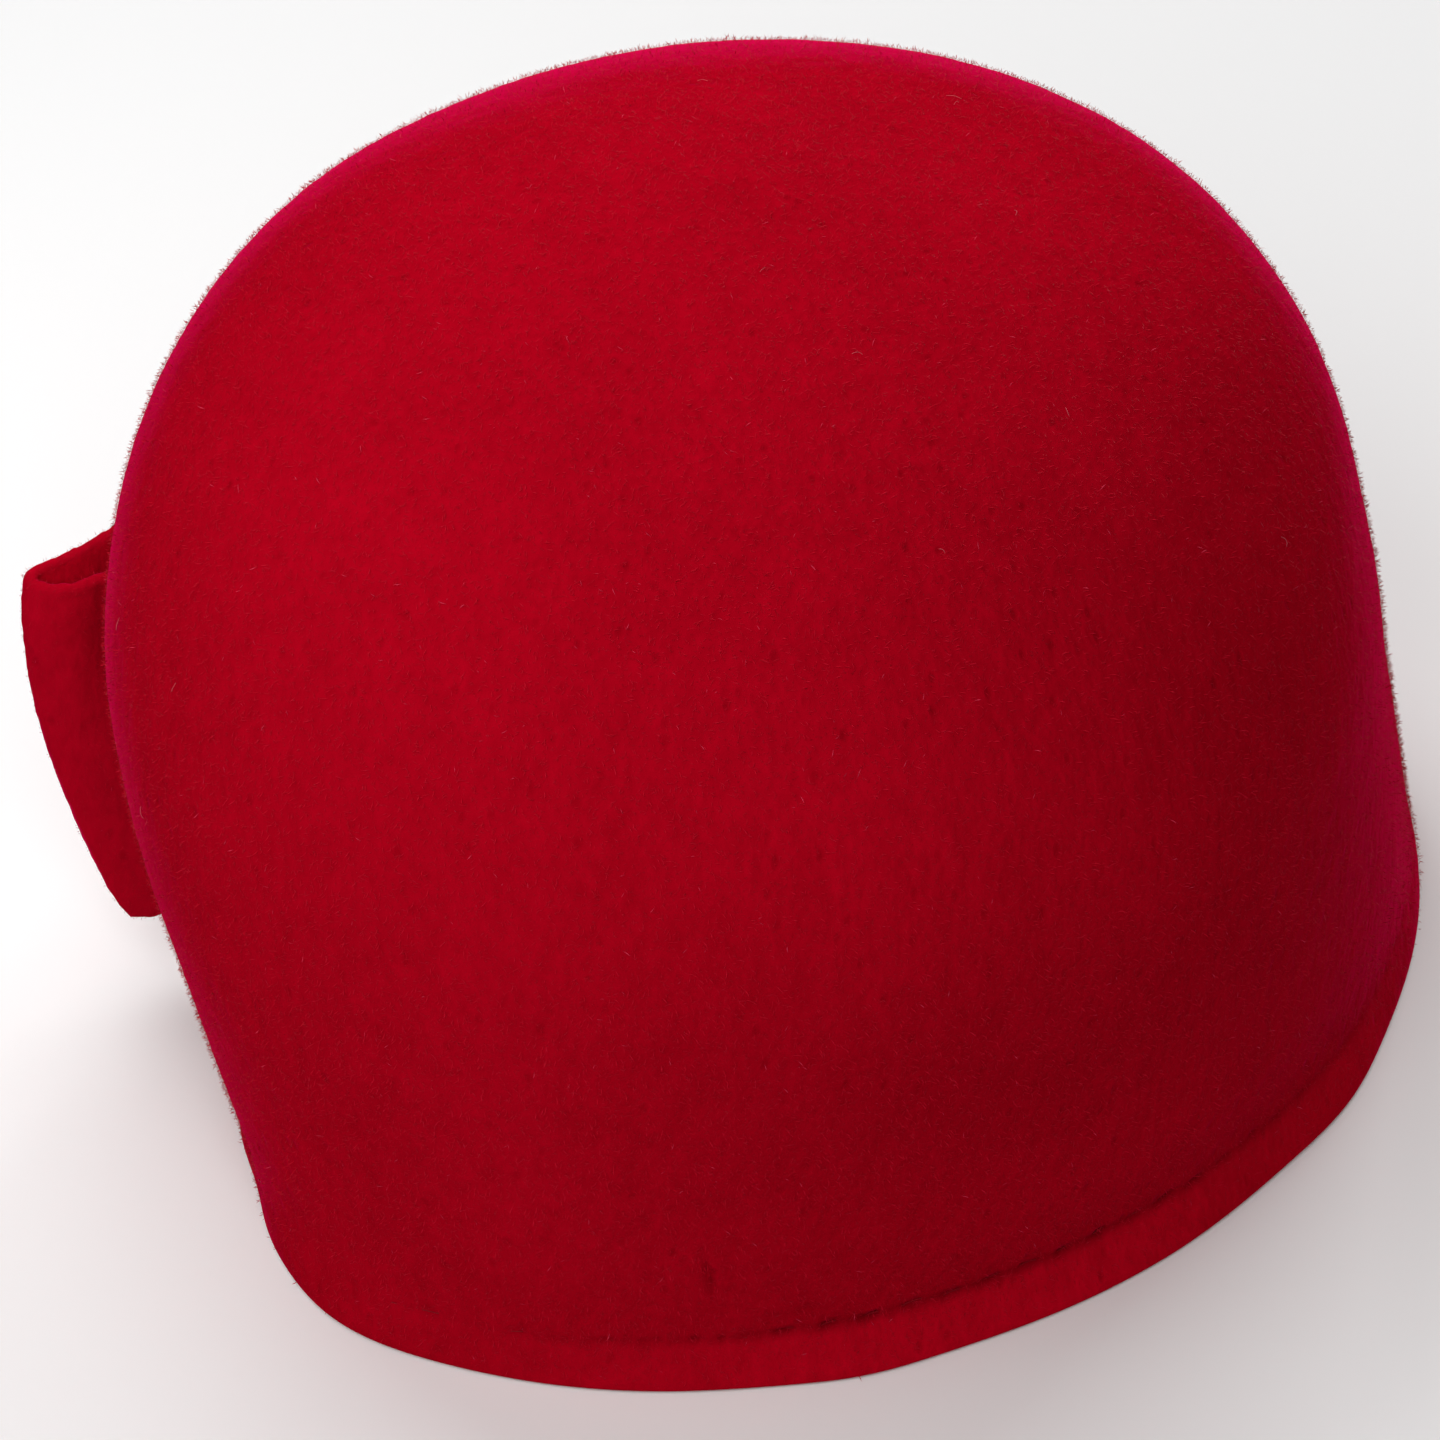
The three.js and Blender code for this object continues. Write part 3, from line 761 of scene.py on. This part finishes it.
def stitchTree(material):
    sag = stitches["sagShare"] * stitches["dip"]
    sizes = {"Length": stitches["length"] * mm, "Thread": stitches["thread"] * mm, "Sag": sag * mm}
    start, given = newTree("hemStitches", sizes)
    half = given["Length"] * stitches["spanShare"]
    raised = given["Sag"] * stitches["bendShare"]
    left, right = (
        start.node("ShaderNodeCombineXYZ", {}, {"X": half * side, "Z": raised})
        for side in (-1, 1)
    )
    dipped = start.node("ShaderNodeCombineXYZ", {}, {"Z": raised * -1.0})
    bent = {"Start": left, "Middle": dipped, "End": right, "Resolution": 5}
    thread = start.node("GeometryNodeCurveQuadraticBezier", {}, bent)
    tube = tubeAlong(start, thread, given["Thread"], 6)
    outward, along, stretched = (named(start, k, "FLOAT_VECTOR") for k in ("outward", "along", "stretched"))
    align = "FunctionNodeAlignRotationToVector"
    facing = start.node(align, {"axis": "Z"}, {"Vector": outward})
    turn = start.node(align, {"axis": "X", "pivot_axis": "Z"}, {"Vector": along, "Rotation": facing})
    laidOut = {"Points": given["Geometry"], "Instance": tube, "Rotation": turn, "Scale": stretched}
    placed = start.node("GeometryNodeInstanceOnPoints", {}, laidOut)
    endTree(start, placed, material)
    return start.tree, sizes


hemThread = fibreMaterial("hemThread", stitches["colour"], 0.6)
hemLine = threadCarrier()
hemStitches = grown("hem_stitches", hemLine, *stitchTree(hemThread))
discard(hemLine)
print("hem stitched:", len(laid["middle"]), "stitches")


# Nap: short wool fibres that lean off the felt, longer in tufts, in three shades of the dye
nap = {
    "crownCount": 190000,
    "bowCount": 45000,
    "bowShare": 0.65,  # of the crown's length of fibre
    "length": 1.0,
    "shortest": 0.6,
    "longest": 1.3,
    "width": 0.085,
    "leanLeast": 34.0,
    "leanMost": 82.0,
    "tuftSize": 2.0,
    "tuftSpread": 0.5,
    "shades": [(0.395, 0.0008, 0.0106), (0.42, 0.002, 0.015), (0.56, 0.03, 0.07)],
    "shadeShares": [1.0, 0.3, 0.008],  # of all the fibres; each shade is laid over the one before
    "seed": 11,
}
napShades = [fibreMaterial(f"napShade{k}", colour, 0.8) for k, colour in enumerate(nap["shades"])]


# One fibre: a fine three-cornered blade that narrows to its root and its tip
def fibreBlade():
    points = [(0, 0, 0), (nap["width"], 0, 0.6 * nap["length"]), (0, 0, nap["length"])]
    return meshPiece("nap_blade", points, [(0, 1, 2)], napShades[0])


def napTree(name, blade, count, share):
    sizes = {
        "Fibres": float(count),
        "Shortest": share * nap["shortest"],
        "Longest": share * nap["longest"],
        "Lean least": nap["leanLeast"],
        "Lean most": nap["leanMost"],
        "Tuft size": nap["tuftSize"],
        "Tuft spread": nap["tuftSpread"],
        "Seed": nap["seed"],
    }
    start, given = newTree(name, sizes)
    worn = named(start, "nap")
    area = start.node("GeometryNodeAttributeStatistic", {"domain": "FACE"}, {
        "Geometry": given["Geometry"],
        "Attribute": start.node("GeometryNodeInputMeshFaceArea") * worn,
    }, out="Sum")

    def chance(low, high, salt):
        values = {2: low, 3: high, "Seed": given["Seed"] + salt}
        return start.node("FunctionNodeRandomValue", {"data_type": "FLOAT"}, values, out=1)

    density = start.math("DIVIDE", given["Fibres"], area) * worn
    scatter = {"Mesh": given["Geometry"], "Density": density, "Seed": given["Seed"]}
    points = start.node("GeometryNodeDistributePointsOnFaces", {}, scatter, out="Points")
    square = Socket(start.tree, points.out.node.outputs["Rotation"])
    shaded = start.node("GeometryNodeStoreNamedAttribute", {"data_type": "FLOAT", "domain": "POINT"}, {
        "Geometry": points,
        "Name": "shade",
        "Value": chance(0.0, 1.0, 1),
    })
    lean = chance(given["Lean least"], given["Lean most"], 2) * (math.pi / 180)
    turned = start.node("ShaderNodeCombineXYZ", {}, {"X": lean, "Z": chance(0.0, 2 * math.pi, 3)})
    tilt = start.node("FunctionNodeEulerToRotation", {}, {"Euler": turned})
    values = {"Rotation": square, "Rotate By": tilt}
    facing = start.node("FunctionNodeRotateRotation", {"rotation_space": "LOCAL"}, values)
    tufts = start.node("ShaderNodeTexNoise", {}, {
        "Vector": start.node("GeometryNodeInputPosition"),
        "Scale": start.math("DIVIDE", 1 / mm, given["Tuft size"]),
        "Detail": 1.0,
    })
    size = chance(given["Shortest"], given["Longest"], 4) * (1 + (tufts - 0.5) * 2 * given["Tuft spread"])
    fibre = start.node("GeometryNodeObjectInfo", {}, {"Object": blade}, out="Geometry")
    stood = {"Points": shaded, "Instance": fibre, "Rotation": facing, "Scale": size}
    placed = start.node("GeometryNodeInstanceOnPoints", {}, stood)
    dyed = start.node("GeometryNodeRealizeInstances", {}, {"Geometry": placed})
    shade = named(start, "shade")
    for share, material in zip(nap["shadeShares"], napShades):
        chosen = {"Geometry": dyed, "Selection": start.math("LESS_THAN", shade, share), "Material": material}
        dyed = start.node("GeometryNodeSetMaterial", {}, chosen)
    start.node("NodeGroupOutput", {}, {"Geometry": dyed})
    return start.tree, sizes


blade = fibreBlade()
crownNap = grown("crown_nap", crownShell, *napTree("crownNap", blade, nap["crownCount"], 1.0))
bandNap = grown("bow_band_nap", bandShell, *napTree("bandNap", blade, nap["bowCount"], nap["bowShare"]))
discard(blade)
print("nap raised:", len(crownNap.data.polygons) + len(bandNap.data.polygons), "faces")

# Loose hairs: a few pale wool fibres that lie curled on the crown
hairs = {
    "thickness": 0.055,
    "steps": 8,
    "lift": 0.3,  # how far the middle of a hair stands off the felt
    "colour": (0.56, 0.13, 0.16),
    "laid": [  # where each starts, its length, and its heading from level with the bend that it takes
        {"azimuth": 272, "height": 152, "length": 2.4, "heading": 30, "bend": -50},
        {"azimuth": 271, "height": 152.5, "length": 1.3, "heading": 100, "bend": 30},
        {"azimuth": 228, "height": 154, "length": 1.4, "heading": 10, "bend": 60},
        {"azimuth": 173, "height": 155, "length": 1.6, "heading": 150, "bend": 40},
        {"azimuth": 191, "height": 145, "length": 1.5, "heading": 60, "bend": -60},
        {"azimuth": 203, "height": 118, "length": 2.0, "heading": 100, "bend": 60},
        {"azimuth": 165, "height": 160, "length": 1.3, "heading": 20, "bend": 30},
        {"azimuth": 322, "height": 156, "length": 1.6, "heading": 170, "bend": 50},
        {"azimuth": 76, "height": 107, "length": 1.9, "heading": 80, "bend": 70},
        {"azimuth": 61, "height": 102, "length": 2.8, "heading": 95, "bend": 110},
        {"azimuth": 71, "height": 80, "length": 2.0, "heading": 120, "bend": 70},
        {"azimuth": 165, "height": 140, "length": 1.2, "heading": 130, "bend": 50},
        {"azimuth": 150, "height": 105, "length": 1.3, "heading": 40, "bend": 50},
        {"azimuth": 340, "height": 90, "length": 2.2, "heading": 70, "bend": 60},
        {"azimuth": 255, "height": 70, "length": 1.8, "heading": 20, "bend": -70},
    ],
}


def hairCarrier(material):
    points, edges = [], []
    for hair in hairs["laid"]:
        azimuth, row = math.radians(hair["azimuth"]), rowAt(hair["height"])
        normal = formNormal(azimuth, row)
        sideways = unit(np.cross([0, 0, 1], normal))
        upward = np.cross(normal, sideways)
        place = formPoint(azimuth, row)
        for share in np.linspace(0, 1, hairs["steps"] + 1):
            _, spot, facing, _ = crownShell.closest_point_on_mesh(Vector(place * mm))
            lift = hairs["thickness"] + hairs["lift"] * math.sin(math.pi * share)
            if share > 0:
                edges.append((len(points) - 1, len(points)))
            points.append(np.array(spot) / mm + np.array(facing) * lift)
            heading = math.radians(hair["heading"] + hair["bend"] * (share - 0.5))
            onward = sideways * math.cos(heading) + upward * math.sin(heading)
            place = place + onward * hair["length"] / hairs["steps"]
    return meshPiece("hair_lines", points, [], material, edges)


def hairTree(material):
    sizes = {"Thickness": hairs["thickness"] * mm}
    start, given = newTree("looseHairs", sizes)
    line = start.node("GeometryNodeMeshToCurve", {}, {"Mesh": given["Geometry"]})
    tube = tubeAlong(start, line, given["Thickness"], 4)
    endTree(start, tube, material)
    return start.tree, sizes


paleHair = fibreMaterial("paleHair", hairs["colour"], 0.6)
bpy.context.view_layer.update()
hairLines = hairCarrier(paleHair)
looseHairs = grown("loose_hairs", hairLines, *hairTree(paleHair))
discard(hairLines)
print("hairs shed:", len(hairs["laid"]))

for shell, node, slotName in (
    (crownShell, "crown", "crown_felt"),
    (bandShell, "bow_band", "bow_felt"),
    (knotShell, "bow_knot", "bow_felt"),
):
    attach(shell, "root")
    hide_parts(node)
for added in (hemStitches, crownNap, looseHairs):
    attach(added, "root")
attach(bandNap, "root")


# Camera at the photograph's angle, and four soft lamps over a pale floor
camera = {
    "azimuth": 223.4,
    "elevation": 37,
    "roll": 1.75,
    "distance": 1.3,  # metres, as are the three below
    "lookAt": (0, 0.005, 0.0729),
    "aimRight": -0.0176,
    "aimUp": -0.0118,
    "lens": 211.3,
}
light = {
    "world": 0.02,
    "lamps": [  # where each stands is right, up and back, as the camera sees them; metres and watts
        {"name": "front", "from": (-0.1, 0.1, 0.99), "distance": 2.0, "size": 1.1, "power": 18.6},
        {"name": "behind", "from": (0.42, 0.75, -0.51), "distance": 2.0, "size": 1.1, "power": 32},
        {"name": "top", "from": (-0.35, 0.9, 0.25), "distance": 0.6, "size": 0.4, "power": 1.95},
        {"name": "left", "from": (-0.5, 0.25, 0.83), "distance": 0.6, "size": 0.4, "power": 1.3},
    ],
    "aim": (0, 0, 0.07),  # metres
    "floorShade": 0.85,
    "floorGlow": 0.03,
    "floorReach": 20000,
    "floorDrop": 0.3,
}


def placeCamera():
    azimuth, elevation, roll = (math.radians(camera[k]) for k in ("azimuth", "elevation", "roll"))
    level = math.cos(elevation)
    back = Vector((math.sin(azimuth) * level, -math.cos(azimuth) * level, math.sin(elevation)))
    right = Vector((math.cos(azimuth), math.sin(azimuth), 0))
    up = back.cross(right)
    right, up = right * math.cos(roll) + up * math.sin(roll), up * math.cos(roll) - right * math.sin(roll)
    lookAt = Vector(camera["lookAt"])
    eye = lookAt + back * camera["distance"]
    forward = (lookAt + right * camera["aimRight"] + up * camera["aimUp"] - eye).normalized()
    right = forward.cross(up).normalized()
    up = right.cross(forward)
    lens = bpy.data.cameras.new("camera")
    lens.lens = camera["lens"]
    lens.clip_start, lens.clip_end = 0.05, 50
    stand = bpy.data.objects.new("camera", lens)
    turn = Matrix((right, up, -forward)).transposed().to_4x4()
    stand.matrix_world = Matrix.Translation(eye) @ turn
    bpy.context.scene.collection.objects.link(stand)
    bpy.context.scene.camera = stand
    return right, up, -forward


def placeLight(axes):
    world = bpy.data.worlds.new("paleRoom")
    world.use_nodes = True
    world.node_tree.nodes["Background"].inputs["Color"].default_value = (1, 1, 1, 1)
    world.node_tree.nodes["Background"].inputs["Strength"].default_value = light["world"]
    bpy.context.scene.world = world
    middle = Vector(light["aim"])
    for lamp in light["lamps"]:
        toLamp = sum((axis * share for axis, share in zip(axes, lamp["from"])), Vector()).normalized()
        glow = bpy.data.lights.new(lamp["name"], "AREA")
        glow.size = lamp["size"]
        glow.energy = lamp["power"]
        stand = bpy.data.objects.new(lamp["name"], glow)
        stand.location = middle + toLamp * lamp["distance"]
        stand.rotation_euler = (-toLamp).to_track_quat("-Z", "Y").to_euler()
        bpy.context.scene.collection.objects.link(stand)


def placeFloor():
    material = bpy.data.materials.new("paleFloor")
    material.use_nodes = True
    paint = material.node_tree.nodes["Principled BSDF"]
    shade = light["floorShade"]
    paint.inputs["Base Color"].default_value = (shade, shade, shade, 1)
    paint.inputs["Roughness"].default_value = 0.9
    paint.inputs["Specular IOR Level"].default_value = 0.0
    paint.inputs["Emission Color"].default_value = (1, 1, 1, 1)
    paint.inputs["Emission Strength"].default_value = light["floorGlow"]
    reach, level = light["floorReach"], -light["floorDrop"]
    corners = [(x * reach, y * reach, level) for x, y in ((-1, -1), (1, -1), (1, 1), (-1, 1))]
    floor = meshPiece("floor", corners, [(0, 1, 2, 3)], material)


placeLight(placeCamera())
placeFloor()
bpy.context.scene.view_settings.view_transform = "Standard"
print("camera, light and floor placed")
